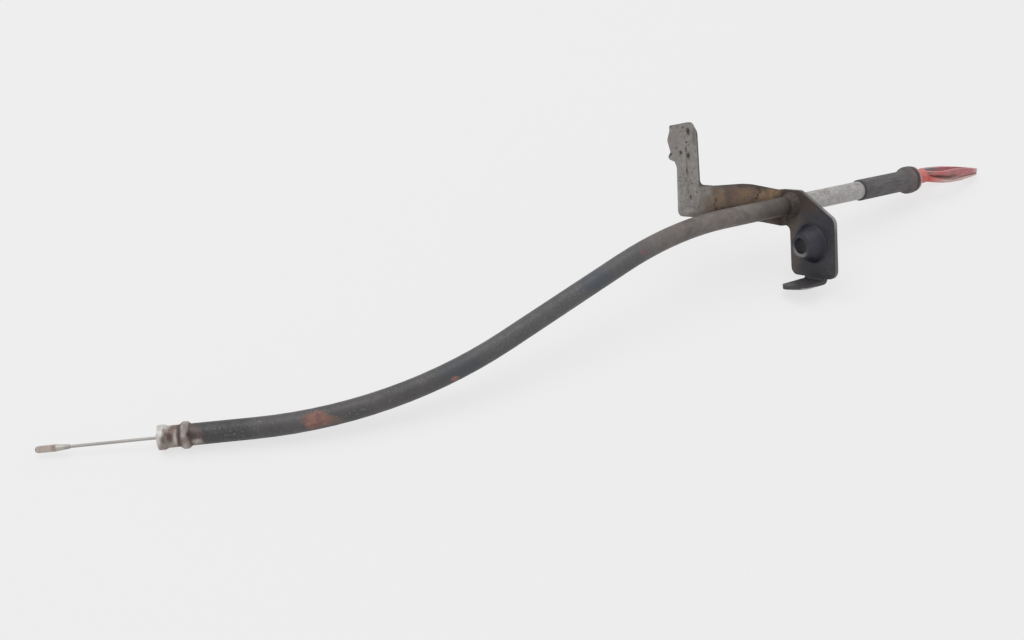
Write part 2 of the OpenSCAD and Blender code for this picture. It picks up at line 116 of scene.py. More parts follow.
def ragged(tree, place, size, reach, seed):
    """A number that wanders by about reach either way, to make an edge uneven."""
    cloud = add(tree, "ShaderNodeTexNoise",
                {"Vector": place, "W": seed, "Scale": 1.0 / size, "Detail": EDGE_DETAIL,
                 "Roughness": EDGE_ROUGHNESS}, noise_dimensions="4D").outputs["Fac"]
    return add(tree, "ShaderNodeMapRange", {"Value": cloud, "From Min": 0.0, "From Max": 1.0,
                                            "To Min": -reach * 2, "To Max": reach * 2}).outputs[0]


def patch(tree, place, centre, half, soft, rough, size, seed):
    """1 inside a soft-edged lump round a centre, with the given half sizes."""
    away = add(tree, "ShaderNodeVectorMath", {0: place, 1: centre}, operation="SUBTRACT").outputs[0]
    scaled = add(tree, "ShaderNodeVectorMath", {0: away, 1: half}, operation="DIVIDE").outputs[0]
    far = add(tree, "ShaderNodeVectorMath", {0: scaled}, operation="LENGTH").outputs["Value"]
    edge = add(tree, "ShaderNodeMath",
               {0: far, 1: ragged(tree, place, size, rough, seed)}).outputs[0]
    return add(tree, "ShaderNodeMapRange",
               {"Value": edge, "From Min": 1 + soft, "From Max": 1 - soft},
               interpolation_type="SMOOTHSTEP").outputs[0]


def past(tree, place, direction, start, soft, rough=0, size=None, seed=None):
    """Rises from 0 to 1 over soft mm, round start mm along a direction; with an uneven edge where
    rough, size and seed say so."""
    reach = add(tree, "ShaderNodeVectorMath", {0: place, 1: direction},
                operation="DOT_PRODUCT").outputs["Value"]
    if rough:
        reach = add(tree, "ShaderNodeMath",
                    {0: reach, 1: ragged(tree, place, size, rough, seed)}).outputs[0]
    return add(tree, "ShaderNodeMapRange",
               {"Value": reach, "From Min": start - soft / 2, "From Max": start + soft / 2},
               interpolation_type="SMOOTHSTEP").outputs[0]


def both(tree, *masks):
    """Where every mask holds."""
    joined = masks[0]
    for mask in masks[1:]:
        joined = add(tree, "ShaderNodeMath", {0: joined, 1: mask}, operation="MULTIPLY").outputs[0]
    return joined


# Layers.
def coats(tree, ground, *layers):
    """Colours laid over a ground in turn, each where its mask says."""
    colour = ground if isinstance(ground, bpy.types.NodeSocket) else linear(ground)
    for mask, code in layers:
        top = code if isinstance(code, bpy.types.NodeSocket) else linear(code)
        colour = add(tree, "ShaderNodeMix", {"Factor": mask, 6: colour, 7: top},
                     data_type="RGBA").outputs[2]
    return colour


def marked(tree, place, ground, marks):
    """A colour with marks laid over it: each one's centre and half sizes in mm, how soft and how
    ragged its edge is, the size of the raggedness in mm, its seed and its colour."""
    for centre, half, soft, rough, size, seed, code in marks:
        mark = patch(tree, place, centre, half, soft, rough, size, seed)
        ground = coats(tree, ground, (mark, code))
    return ground


def levels(tree, ground, *layers):
    """Numbers laid over a ground in turn, each where its mask says."""
    value = ground
    for mask, top in layers:
        value = add(tree, "ShaderNodeMix", {"Factor": mask, 2: value, 3: top}).outputs[0]
    return value


def relief(tree, surface, *heights):
    """Bumps on the surface: pairs of a height from 0 to 1 and its depth in mm."""
    normal = None
    for height, depth in heights:
        inputs = {"Height": height, "Distance": depth / MM_PER_M, "Strength": 1.0}
        if normal:
            inputs["Normal"] = normal
        normal = add(tree, "ShaderNodeBump", inputs).outputs[0]
    tree.links.new(normal, surface.inputs["Normal"])


def dress(name, finish):
    """Puts a finish on a node of the frame."""
    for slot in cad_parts[name].material_slots:
        slot.material = finish


# The guide tube. Two patches worn blue-grey and a plum spot on its enamel, seen from the plate.
ENAMEL_MARKS = [((12.7, -46, -200), (5, 5, 15), 0.35, 0.25, 2.5, 12, "#44474b"),
                ((1.8, -16.6, -128), (5, 5, 9), 0.35, 0.25, 2.5, 13, "#474b52"),
                ((-1.9, -7.3, -101.5), (1.6, 1.6, 1.8), 0.6, 0.4, 1.0, 14, "#6b545a")]
# Stains and rubbed spots on the bare steel of its lower end, seen from the mouth.
MOUTH_MARKS = [((-1.2, 4.6, 5.6), (2.8, 3, 1.9), 0.8, 0.5, 2, 26, "#55453f"),
               ((2.2, 4.6, 7.0), (1.8, 3, 1.0), 0.8, 0.5, 2, 34, "#6d5c56"),
               ((-3.6, 2.5, 12.2), (1.2, 3, 1.6), 0.9, 0.4, 1.5, 35, "#6a5c57"),
               ((-2.9, 4.0, 8.0), (1.6, 3, 0.7), 0.8, 0.4, 1.5, 97, "#b9b0ab"),
               ((-1.7, 4.6, 14.4), (1.8, 2, 1.7), 0.8, 0.4, 1.5, 27, "#453734"),
               ((-4.4, 3.0, 17.4), (0.8, 3, 1.8), 0.9, 0.4, 1.5, 28, "#aea5a0"),
               ((1.4, 6.0, 12.4), (2.0, 2, 0.9), 0.8, 0.5, 1.5, 149, "#7d746f"),
               ((-3.0, 4.7, 3.0), (1.8, 3, 0.9), 0.8, 0.5, 1.5, 150, "#6c635d")]


def filmed_enamel(tree, bench, plate, mouth, clouds, grit, film):
    """Black enamel, dusty along the middle and cleaner near the mouth, with a film of dried oil
    and dust between the second bend and the bracket, where the torch has smoked it."""
    specks = blotches(tree, bench, 1.1, 0.6, 0.68, detail=2, seed=2)
    dusty = past(tree, plate, UP_TUBE, -205, 40, rough=7, size=12, seed=4)
    clean = past(tree, mouth, DOWN_TUBE, -42, 12, rough=3, size=6, seed=5)
    black = coats(tree, "#474545", (clouds, "#555150"), (dusty, "#525153"),
                  (both(tree, dusty, clouds), "#5a595b"), (clean, "#323134"), (grit, "#4b494a"),
                  (specks, "#696768"))
    brown = coats(tree, "#6c6461", (blotches(tree, bench, 4, 0.42, 0.62, seed=7), "#78716d"),
                  (blotches(tree, bench, 9, 0.5, 0.66, seed=8), "#5e5a58"),
                  (blotches(tree, bench, 1.3, 0.6, 0.7, seed=9), "#837d79"))
    smoked = past(tree, plate, UP_TUBE, -24, 16, rough=2.5, size=4, seed=32)
    smears = blotches(tree, plate, 3, 0.4, 0.62, seed=37)
    burnt = past(tree, plate, UP_TUBE, -9.5, 6, rough=1.5, size=3, seed=10)
    scorched = past(tree, plate, UP_TUBE, -6.2, 1.2, rough=0.6, size=2, seed=11)
    colour = coats(tree, black, (film, brown), (smoked, "#504a46"),
                   (both(tree, smoked, smears), "#5a534f"), (burnt, "#463c36"),
                   (scorched, "#332b27"))
    return marked(tree, plate, colour, ENAMEL_MARKS)


def worn_mouth(tree, mouth, stain):
    """Bare steel at the mouth: pale on the lip and on the bead's crown, with painted shade in the
    neck behind the lip and in the band behind the bead.
    """
    pale = blotches(tree, mouth, 2.6, 0.36, 0.64, seed=22)
    lip = past(tree, mouth, (0.5, 0, -1), -3.3, 2, rough=0.8, size=2, seed=24)
    crown = both(tree, past(tree, mouth, UP_TUBE, 11.2, 1.4),
                 past(tree, mouth, DOWN_TUBE, -13.4, 1.4))
    # Painted shade: the neck before the bead, and the band behind the bead, are darkened as if
    # shaded.
    neck_shade = both(tree, past(tree, mouth, UP_TUBE, 8.6, 1.2, rough=0.4, size=2, seed=25),
                  past(tree, mouth, DOWN_TUBE, -10.6, 1.0))
    back = past(tree, mouth, UP_TUBE, 14.0, 1.6, rough=0.4, size=2, seed=33)
    steel = coats(tree, "#8b7c76", (pale, "#a3978f"), (stain, "#6f5f58"), (back, "#4c423f"),
                  (both(tree, back, pale), "#5e5450"), (lip, "#c9c5c1"), (crown, "#938782"),
                  (both(tree, crown, pale), "#b5aca8"), (both(tree, lip, stain), "#8f847f"),
                  (neck_shade, "#584c49"))
    return marked(tree, mouth, steel, MOUTH_MARKS)


def taped_top(tree, plate):
    """Bare steel between the bracket and the boot, mottled where old tape came off, with painted
    shade next to the bracket."""
    return coats(tree, "#a3a09e",
                 (blotches(tree, plate, 2.2, 0.42, 0.6, seed=29, stretch=(1, 1, 0.5)), "#b2afad"),
                 (blotches(tree, plate, 3.2, 0.52, 0.66, seed=30), "#8b8785"),
                 (blotches(tree, plate, 0.9, 0.64, 0.68, detail=2, seed=31), "#dcdad7"),
                 # Painted shade where the tube leaves the bracket.
                 (past(tree, plate, DOWN_TUBE, -9, 8), "#7d7876"))


def enamelled_tube():
    """Drawn steel tube in black stoving enamel: satin and dusty, filmed brown-grey past the second
    bend, with one scab of rust, and rubbed to bare steel at the mouth and under the boot."""
    finish, tree, surface, bench = new_finish("stoved_enamel_on_drawn_steel")
    plate = seen_from(tree, bench, PLATE, PLATE_X, PLATE_Z)
    mouth = seen_from(tree, bench, MOUTH, MOUTH_X, MOUTH_Z)
    clouds = blotches(tree, bench, 14, 0.38, 0.64, seed=1)
    grit = blotches(tree, bench, 0.7, 0.35, 0.7, detail=3, seed=3)
    film = past(tree, plate, UP_TUBE, -93, 40, rough=9, size=9, seed=6)
    colour = filmed_enamel(tree, bench, plate, mouth, clouds, grit, film)
    # Rust has lifted the enamel on the side that lay wet.
    rust = patch(tree, plate, (31.9, -59.0, -265.8), (6, 3.8, 5.9), 0.26, 0.3, 2.4, seed=15)
    rust_foot = patch(tree, plate, (29.8, -60.0, -258.6), (4, 2.2, 5), 0.5, 0.4, 2, seed=16)
    rust_core = both(tree, rust, blotches(tree, bench, 2.4, 0.38, 0.62, seed=17))
    rust_pits = both(tree, rust, blotches(tree, bench, 1.1, 0.58, 0.7, seed=19))
    small_rust = patch(tree, plate, (12.9, -50.1, -203.6), (1.6, 1.2, 1.8), 0.5, 0.3, 1.0, seed=18)
    colour = coats(tree, colour, (rust_foot, "#66574f"), (rust, "#775b54"), (rust_core, "#8f6a5f"),
                   (rust_pits, "#6b4a42"), (small_rust, "#8c6254"))
    # The enamel ends on a slant at the mouth, worn away rather than cut.
    bare_end = both(tree, past(tree, mouth, (-0.88, 0, -1), -19.8, 2.6, rough=1.0, size=3, seed=20),
                    past(tree, mouth, DOWN_TUBE, -20.6, 2.2, rough=0.8, size=3, seed=21))
    stain = blotches(tree, mouth, 3.2, 0.46, 0.66, seed=23)
    bare_top = past(tree, plate, UP_TUBE, 1.5, 1)
    colour = coats(tree, colour, (bare_end, worn_mouth(tree, mouth, stain)),
                   (bare_top, taped_top(tree, plate)))
    roughness = levels(tree, 0.5, (clouds, 0.44), (film, 0.62), (rust, 0.9), (bare_end, 0.5),
                       (stain, 0.6), (bare_top, 0.46))
    metallic = levels(tree, 0.0, (bare_end, 0.35), (bare_top, 0.4))
    feed(tree, surface, Base_Color=colour, Roughness=roughness, Metallic=metallic)
    relief(tree, surface, (grit, 0.03), (rust_core, 0.12), (both(tree, bare_end, stain), 0.06),
           (bare_end, -0.05))
    return finish


# The bracket, seen from its plate. The near face of the arm and web lies this far out, in mm.
FACE = 5
# The middle of the boss, and of its outer rim.
BOSS = (-13.8, -19.6, -3)
BOSS_RIM = (-13.8, -19.6, -9)
# Pits on the arm: height and place along the tube, then half sizes.
ARM_PITS = [(46.2, -63.0, 1.7, 1.2), (36.4, -68.4, 0.9, 0.8), (34.3, -63.8, 1.5, 1.1),
            (41.0, -64.4, 0.6, 0.5), (37.6, -65.0, 1.2, 0.5), (27.0, -65.2, 1.6, 0.5),
            (48.6, -66.2, 0.5, 0.5), (13.5, -63.6, 1.2, 0.5)]
# A rubbed spot at the arm's foot and a dull one by its top.
ARM_MARKS = [((FACE, 6.6, -65.5), (3, 1.1, 3.6), 0.8, 0.4, 2, 53, "#aeaaa6"),
             ((FACE, 43.5, -59.4), (3, 4.0, 1.4), 0.8, 0.4, 2, 151, "#77726e")]
# Heat stains on the web: height and place along the tube, half sizes, softness and colour.
WEB_STAINS = [(10.2, -44.2, 3.8, 4.6, 0.9, "#8a735c"), (10.5, -37.6, 6.0, 2.4, 0.9, "#614d47"),
              (9.2, -28.0, 4.4, 8.0, 0.8, "#846c5a"), (9.6, -25.5, 2.2, 3.0, 0.9, "#917459"),
              (6.2, -9.0, 3.2, 10.0, 0.7, "#9e8268"), (6.9, -9.5, 1.0, 7.5, 0.9, "#b09270"),
              (4.1, -41.5, 0.9, 7.5, 0.9, "#4d3f38"), (-9.8, -13.0, 2.4, 5.5, 0.8, "#a59591"),
              (6.4, 1.6, 3.4, 3.4, 0.8, "#5b453e")]
# Burnt spots on the web: height and place along the tube, then half sizes.
WEB_SPOTS = [(9.4, -47.3, 0.9, 0.8), (7.4, -48.2, 0.8, 0.5), (5.0, -47.2, 1.0, 1.0),
             (10.9, -16.9, 0.9, 0.9), (9.4, -16.6, 1.1, 0.5), (7.6, -18.4, 1.0, 0.6),
             (6.2, -19.4, 0.8, 1.1), (11.6, -18.6, 0.5, 1.2), (7.0, 1.0, 0.8, 1.6)]
# Burnt brown by the tube, and oil on the foot and by the free edge.
PLATE_MARKS = [((-12.5, 1.5, -1), (8, 5.5, 4), 0.7, 0.4, 4, 99, "#4a413d"),
               ((-13, -33, -2), (8, 5, 4), 0.6, 0.4, 4, 83, "#2c2d33"),
               ((-27, -8, -2), (4, 8, 4), 0.6, 0.4, 4, 84, "#33323a")]
# Where the painted highlight on the tab's lower edge lies.
TAB_HIGHLIGHT_PLACE = (-22, -40.5, -11)


def pitted_arm(tree, plate, grain, mottle):
    """Dull phosphate grey, mottled and pitted, with painted shade along its inner edge for the
    sheet's shaded thickness, and a faint seam down the middle."""
    cloudy = patch(tree, plate, (FACE, 43, -72.5), (6, 7, 4.5), 0.8, 0.6, 4, seed=44)
    grey = coats(tree, "#8b8783", (mottle, "#9f9b97"), (grain, "#928e8a"),
                 (blotches(tree, plate, 1.6, 0.56, 0.66, detail=3, seed=42), "#6c6864"),
                 (blotches(tree, plate, 1.0, 0.6, 0.7, detail=2, seed=43), "#b4b0ac"),
                 (both(tree, cloudy, mottle), "#8c8182"))
    for seed, (high, along, tall, wide) in enumerate(ARM_PITS, 45):
        pit = patch(tree, plate, (FACE, high, along), (4, tall, wide), 0.65, 0.4, 0.9, seed=seed)
        grey = coats(tree, grey, (pit, "#38342f"))
    # Painted shade along the arm's inner edge, for the sheet's shaded thickness.
    inner_edge_shade = both(tree, past(tree, plate, UP_TUBE, -57.8, 0.8, rough=0.2, size=3, seed=39),
                      past(tree, plate, (0, 1, 0), 17.5, 2))
    seam = patch(tree, plate, (FACE, 22, -64.9), (4, 13, 0.7), 0.8, 0.5, 1.6, seed=54)
    return coats(tree, marked(tree, plate, grey, ARM_MARKS), (inner_edge_shade, "#55504c"),
                 (both(tree, seam, mottle), "#6a645f"))


def torched_web(tree, plate, grain, mottle):
    """Brown and ochre heat stain, paler towards the arm and dark along the upper edge."""
    heat = coats(tree, "#6a5b51",
                 (past(tree, plate, DOWN_TUBE, 46.5, 7, rough=3, size=3.5, seed=56), "#7d7064"),
                 (past(tree, plate, DOWN_TUBE, 54, 8, rough=3, size=3.5, seed=36), "#847d74"))
    for seed, (high, along, tall, wide, soft, code) in enumerate(WEB_STAINS, 57):
        stain = patch(tree, plate, (FACE, high, along), (5, tall, wide), soft, 0.6, 3.0, seed=seed)
        heat = coats(tree, heat, (stain, code))
    upper = past(tree, plate, (0, 1, 0.16), 8.9, 1.6, rough=1.0, size=3, seed=67)
    clumps = blotches(tree, plate, 2.2, 0.5, 0.66, seed=78)
    heat = coats(tree, heat, (upper, "#4f4743"), (both(tree, upper, mottle), "#5a514c"),
                 (both(tree, grain, mottle), "#71645a"), (both(tree, clumps, grain), "#5c4b43"),
                 (blotches(tree, plate, 0.8, 0.62, 0.72, detail=2, seed=79), "#54453d"))
    for seed, (high, along, tall, wide) in enumerate(WEB_SPOTS, 68):
        spot = patch(tree, plate, (FACE, high, along), (3, tall, wide), 0.7, 0.4, 0.8, seed=seed)
        heat = coats(tree, heat, (spot, "#4b3c32"))
    return heat


def oiled_plate(tree, plate, grain, sheet_grain, boss):
    """Blue-black, browner towards the web, with a darker boss whose lower rim is rubbed and whose
    inner part carries painted shade, and a slightly paler tab."""
    warm = past(tree, plate, (1, 0.12, 0), -8.5, 9, rough=2.0, size=4, seed=82)
    dark = coats(tree, "#343338", (sheet_grain, "#3d3c40"),
                 (blotches(tree, plate, 1.1, 0.58, 0.68, seed=81), "#4a484a"),
                 (warm, "#534a45"), (both(tree, warm, grain), "#605650"))
    dark = marked(tree, plate, dark, PLATE_MARKS)
    # Painted shade on the inner part of the boss.
    side = patch(tree, plate, BOSS, (8.6, 8.6, 20), 0.1, 0.05, 2, seed=86)
    rim = both(tree, patch(tree, plate, BOSS_RIM, (6.8, 6.8, 1.8), 0.15, 0.08, 1.4, seed=87),
               past(tree, plate, (0.35, -1, 0), 17.5, 5, rough=1, size=2, seed=88))
    tab = past(tree, plate, (0, -1, 0), 36.6, 1.2)
    tab_end = patch(tree, plate, (-14, -38.7, -19), (5, 3, 4), 0.7, 0.4, 3, seed=89)
    return coats(tree, dark, (boss, "#262530"), (side, "#292a33"),
                 (both(tree, side, sheet_grain), "#31323b"), (rim, "#8a8683"), (tab, "#373438"),
                 (both(tree, tab, grain), "#413e40"), (tab_end, "#454344"))


def stamped_bracket():
    """Pressed mild steel with a thin phosphate coat: grey and pitted on the arm, burnt brown and
    ochre by the brazing torch along the web, blue-black with oil on the plate and its boss."""
    finish, tree, surface, bench = new_finish("phosphated_pressed_steel")
    plate = seen_from(tree, bench, PLATE, PLATE_X, PLATE_Z)
    grain = blotches(tree, plate, 1.0, 0.38, 0.66, detail=3, seed=40)
    mottle = blotches(tree, plate, 2.6, 0.42, 0.6, seed=41)
    sheet_grain = blotches(tree, plate, 3.2, 0.42, 0.62, seed=80)
    burnt = both(tree, patch(tree, plate, (FACE, 0, -25), (6, 21, 40), 0.25, 0.3, 6, seed=55),
                 past(tree, plate, (0, -0.25, 1), -61.5, 8, rough=3, size=3.5, seed=38))
    beyond_fold = past(tree, plate, UP_TUBE, -0.6, 3.4, rough=0.8, size=3, seed=98)
    on_plate = add(tree, "ShaderNodeMath",
                   {0: past(tree, plate, (-1, 0, 0), -4.2, 2.4), 1: beyond_fold},
                   operation="MAXIMUM").outputs[0]
    boss = patch(tree, plate, BOSS, (11.2, 11.2, 20), 0.12, 0.05, 2, seed=85)
    colour = coats(tree, pitted_arm(tree, plate, grain, mottle),
                   (burnt, torched_web(tree, plate, grain, mottle)),
                   (on_plate, oiled_plate(tree, plate, grain, sheet_grain, boss)))

    # Sheared edges face across the sheet, so they are told by where the surface faces.
    facing = add(tree, "ShaderNodeMapping",
                 {"Vector": add(tree, "ShaderNodeTexCoord").outputs["Normal"],
                  "Rotation": axes_of(PLATE_X, PLATE_Z).to_euler()}, vector_type="VECTOR")
    across = add(tree, "ShaderNodeSeparateXYZ", {0: facing.outputs[0]}).outputs
    edge_on = {}
    for axis in "XYZ":
        tilt = add(tree, "ShaderNodeMath", {0: across[axis]}, operation="ABSOLUTE").outputs[0]
        edge_on[axis] = add(tree, "ShaderNodeMapRange",
                            {"Value": tilt, "From Min": 0.55, "From Max": 0.25},
                            interpolation_type="SMOOTHSTEP").outputs[0]
    upward = add(tree, "ShaderNodeMapRange",
                 {"Value": across["Y"], "From Min": 0.25, "From Max": 0.6},
                 interpolation_type="SMOOTHSTEP").outputs[0]
    off_boss = add(tree, "ShaderNodeMapRange", {"Value": boss, "From Min": 0.5, "From Max": 0.0},
                   interpolation_type="SMOOTHSTEP").outputs[0]
    # They are darker along the top of the arm and web and paler round the plate, with a painted
    # highlight on the plate's shoulder and along the tab's lower edge.
    web_rim = both(tree, edge_on["X"], past(tree, plate, DOWN_TUBE, 1.5, 1),
                   past(tree, plate, (1, 0, 0), 2.6, 0.6), upward)
    plate_rim = both(tree, edge_on["Z"], off_boss, past(tree, plate, (-1, 0, 0), -2.6, 0.8),
                     past(tree, plate, (0, 1, 0), -36.5, 1.5))
    # Painted highlight on the plate's shoulder edge.
    shoulder_highlight = both(tree, plate_rim,
                    patch(tree, plate, (-29, -4, 0), (7, 7, 4), 0.7, 0.3, 3, seed=90))
    # Painted highlight along the tab's lower edge.
    tab_edge_highlight = both(tree, edge_on["Y"],
                   past(tree, plate, (0, -1, 0), 40.1, 0.5, rough=0.3, size=2, seed=91),
                   patch(tree, plate, TAB_HIGHLIGHT_PLACE, (4.5, 5, 5), 0.6, 0.3, 3, seed=92))
    web_rim_dark = both(tree, web_rim, blotches(tree, plate, 3, 0.2, 0.45, seed=93))
    plate_wear = both(tree, plate_rim, blotches(tree, plate, 2.4, 0.3, 0.5, seed=94))
    colour = coats(tree, colour, (web_rim_dark, "#4d4845"), (plate_wear, "#646060"),
                   (shoulder_highlight, "#8f8c8a"), (tab_edge_highlight, "#a8a5a3"))
    roughness = levels(tree, 0.62, (mottle, 0.54), (burnt, 0.7), (on_plate, 0.52), (plate_rim, 0.4))
    metallic = levels(tree, 0.2, (burnt, 0.05), (on_plate, 0.1), (plate_rim, 0.5))
    feed(tree, surface, Base_Color=colour, Roughness=roughness, Metallic=metallic)
    relief(tree, surface, (grain, 0.03), (mottle, 0.05), (sheet_grain, 0.04))
    return finish


def brass_braze():
    """Brass run in with a torch, burnt as brown as the plate: scorched at its foot, with dull
    metal showing only on the far side."""
    finish, tree, surface, bench = new_finish("torch_brazed_brass")
    plate = seen_from(tree, bench, PLATE, PLATE_X, PLATE_Z)
    lumps = blotches(tree, bench, 1.6, 0.35, 0.65, seed=100)
    flux = blotches(tree, bench, 2.6, 0.45, 0.62, seed=101)
    foot = past(tree, plate, DOWN_TUBE, 4.3, 0.9, rough=0.4, size=1.5, seed=102)
    far = past(tree, plate, UP_TUBE, 0.5, 0.6)
    colour = coats(tree, "#433c39", (lumps, "#4b4440"), (flux, "#3c3532"), (far, "#75654d"),
                   (both(tree, far, flux), "#4d4239"), (foot, "#352c28"))
    feed(tree, surface, Base_Color=colour, Roughness=levels(tree, 0.6, (flux, 0.8), (far, 0.5)),
         Metallic=levels(tree, 0.1, (far, 0.5), (flux, 0.0)))
    relief(tree, surface, (lumps, 0.12), (flux, 0.05))
    return finish


def shrunk_rubber():
    """Black synthetic rubber, aged grey: dull, streaked along the tube and chalky where it is
    rubbed, with painted shade, tinted dark red, round its open end under the handle's flange."""
    finish, tree, surface, bench = new_finish("aged_nitrile_rubber", Metallic=0.0)
    end = seen_from(tree, bench, UPPER_END, PLATE_X, PLATE_Z)
    streaks = blotches(tree, end, 1.6, 0.4, 0.65, seed=110, stretch=(1, 1, 0.22))
    dust = blotches(tree, end, 3.6, 0.44, 0.64, seed=111)
    chalk = blotches(tree, end, 0.9, 0.6, 0.7, detail=2, seed=112, stretch=(1, 1, 0.5))
    bulb = past(tree, end, UP_TUBE, -3.5, 4)
    # Painted shade, tinted dark red, in the gap under the handle's flange.
    shaded_open_end = past(tree, end, UP_TUBE, 1.0, 1.8, rough=0.3, size=2, seed=113)
    start = past(tree, end, DOWN_TUBE, 37.6, 1.6, rough=0.6, size=2, seed=114)
    colour = coats(tree, "#525051", (dust, "#5f5c5d"), (streaks, "#676465"), (chalk, "#7f7c7b"),
                   (bulb, "#5d5757"), (both(tree, bulb, dust), "#6d6465"), (start, "#4a4848"),
                   (shaded_open_end, "#463031"))
    feed(tree, surface, Base_Color=colour, Roughness=levels(tree, 0.75, (dust, 0.85), (bulb, 0.68)))
    relief(tree, surface, (streaks, 0.08), (dust, 0.05), (chalk, 0.03))
    return finish


# Ingrained oil in the loop's groove, deepened with painted shade, grey dirt on the far bar and at
# the neck, and a faded end, seen from the loop.
LOOP_MARKS = [((-7.6, 0.6, 4.5), (3, 0.8, 5.5), 0.7, 0.35, 2, 124, "#66463f"),
              ((-7.4, 0.0, 13.0), (3, 1.2, 6.5), 0.7, 0.35, 2, 125, "#72524a"),
              ((5.2, 2.4, 11.0), (2.5, 2.5, 5.6), 0.7, 0.5, 2, 126, "#888281"),
              ((-3.3, 2.2, 1.2), (3, 0.8, 2.2), 0.9, 0.5, 2, 127, "#947b78"),
              ((0.0, 1.0, 42.5), (8, 6, 5.0), 0.9, 0.4, 2, 129, "#d0a7a9")]


def faded_handle():
    """Moulded red nylon: bright at its neck, faded pink along the loop with painted light along its
    underside, and ingrained with oil in its groove, deepened there with painted shade, and on the
    far bar."""
    finish, tree, surface, bench = new_finish("faded_red_nylon", Metallic=0.0)
    loop = seen_from(tree, bench, LOOP, LOOP_X, LOOP_Z)
    fade = past(tree, loop, UP_TUBE, 4.5, 9, rough=2.0, size=4, seed=120)
    cloud = blotches(tree, loop, 3.2, 0.42, 0.62, seed=121)
    oil = blotches(tree, loop, 1.8, 0.54, 0.68, seed=122, stretch=(1, 1, 0.3))
    flange = past(tree, loop, DOWN_TUBE, 9.6, 0.8)
    # Painted light: the faded loop's underside is paler, as if lit from below.
    under = past(tree, loop, (0, -1, 0), 0.8, 2.0, rough=0.5, size=2, seed=123)
    colour = coats(tree, "#cb6461", (cloud, "#d2706c"), (fade, "#b16b6f"),
                   (both(tree, fade, cloud), "#bd777b"), (oil, "#ab6865"),
                   (both(tree, under, fade), "#cfb1ab"))
    colour = coats(tree, marked(tree, loop, colour, LOOP_MARKS), (flange, "#b59c9a"),
                   (both(tree, flange, cloud), "#a98784"))
    feed(tree, surface, Base_Color=colour, Roughness=levels(tree, 0.5, (fade, 0.62), (oil, 0.46)))
    texture = blotches(tree, loop, 0.6, 0.3, 0.7, detail=2, seed=130)
    relief(tree, surface, (cloud, 0.05), (texture, 0.015))
    return finish


def moulded_seal():
    """Moulded black rubber ring, wet with oil, so it shines a little."""
    finish, tree, surface, bench = new_finish("oiled_seal_rubber", Metallic=0.0)
    film = blotches(tree, bench, 1.4, 0.4, 0.6, seed=140)
    feed(tree, surface, Base_Color=coats(tree, "#1d1d1e", (film, "#2a2826")),
         Roughness=levels(tree, 0.35, (film, 0.55)))
    relief(tree, surface, (film, 0.02))
    return finish


def crimped_steel():
    """Zinc-plated steel ferrule, turned: fine rings, a little oil in them."""
    finish, tree, surface, bench = new_finish("zinc_plated_steel", Metallic=0.9)
    end = seen_from(tree, bench, UPPER_END, PLATE_X, PLATE_Z)
    rings = blotches(tree, end, 0.5, 0.35, 0.65, detail=2, seed=141, stretch=(0.05, 0.05, 1))
    oil = blotches(tree, end, 2.2, 0.48, 0.62, seed=142)
    feed(tree, surface, Base_Color=coats(tree, "#a9a9a6", (rings, "#b8b8b5"), (oil, "#857b6c")),
         Roughness=levels(tree, 0.32, (rings, 0.42), (oil, 0.25)))
    relief(tree, surface, (rings, 0.02))
    return finish


def oiled_wire():
    """Drawn spring-steel wire, wiped pale grey, with a faint film of oil from the mouth on up."""
    finish, tree, surface, bench = new_finish("drawn_spring_steel", Metallic=0.35)
    mouth = seen_from(tree, bench, MOUTH, MOUTH_X, MOUTH_Z)
    draw = blotches(tree, mouth, 0.6, 0.35, 0.65, detail=2, seed=143, stretch=(1, 1, 0.06))
    film = past(tree, mouth, UP_TUBE, -9, 10, rough=2, size=4, seed=144)
    colour = coats(tree, "#a39f9d", (draw, "#afaba9"), (film, "#a8a4a2"),
                   (both(tree, film, draw), "#b3afac"))
    feed(tree, surface, Base_Color=colour, Roughness=levels(tree, 0.5, (film, 0.42)))
    relief(tree, surface, (draw, 0.02))
    return finish


def stained_tip():
    """Steel gauge tip: its flats stained pinkish grey by old oil, with a brown tide mark."""
    finish, tree, surface, bench = new_finish("oil_stained_steel", Metallic=0.35)
    mouth = seen_from(tree, bench, MOUTH, MOUTH_X, MOUTH_Z)
    flats = both(tree, past(tree, mouth, UP_TUBE, -52.6, 1.6, rough=0.4, size=1, seed=145),
                 past(tree, mouth, DOWN_TUBE, 44.9, 1.4, rough=0.3, size=1, seed=146))
    stain = blotches(tree, mouth, 1.8, 0.36, 0.66, seed=147)
    tide_mark = patch(tree, mouth, (0, 0, -45.9), (6, 6, 1.0), 0.9, 0.3, 1, seed=148)
    colour = coats(tree, "#b9b4ab", (flats, "#bdb2aa"), (both(tree, flats, stain), "#ad9f96"),
                   (tide_mark, "#a08e85"), (past(tree, mouth, DOWN_TUBE, 53.4, 0.9), "#8f867e"),
                   (past(tree, mouth, UP_TUBE, -41.4, 2.4), "#a09b95"))
    feed(tree, surface, Base_Color=colour, Roughness=levels(tree, 0.42, (flats, 0.55)))
    relief(tree, surface, (stain, 0.03))
    return finish


dress("guide_tube", enamelled_tube())
dress("bracket", stamped_bracket())
dress("braze_seam", brass_braze())
dress("top_boot", shrunk_rubber())
dress("handle", faded_handle())
seal_finish = moulded_seal()
dress("seal_ring_upper", seal_finish)
dress("seal_ring_lower", seal_finish)
dress("wire_ferrule", crimped_steel())
dress("dipstick_wire", oiled_wire())
dress("gauge_tip", stained_tip())


# The bench, the room, the light and the camera. How much of the board's look is its own even
# brightness; the rest takes the shadows.
GLOW_SHARE = 0.8
# The board and the room behind it look the same pale grey.
BOARD_COLOUR = linear("#ededed")
BOARD_GLOW = linear("#efefef")
ROOM_LOOK = linear("#ededed")
ROOM_WHITE = (1, 1, 1, 1)
ROOM_LIGHT = 0.62
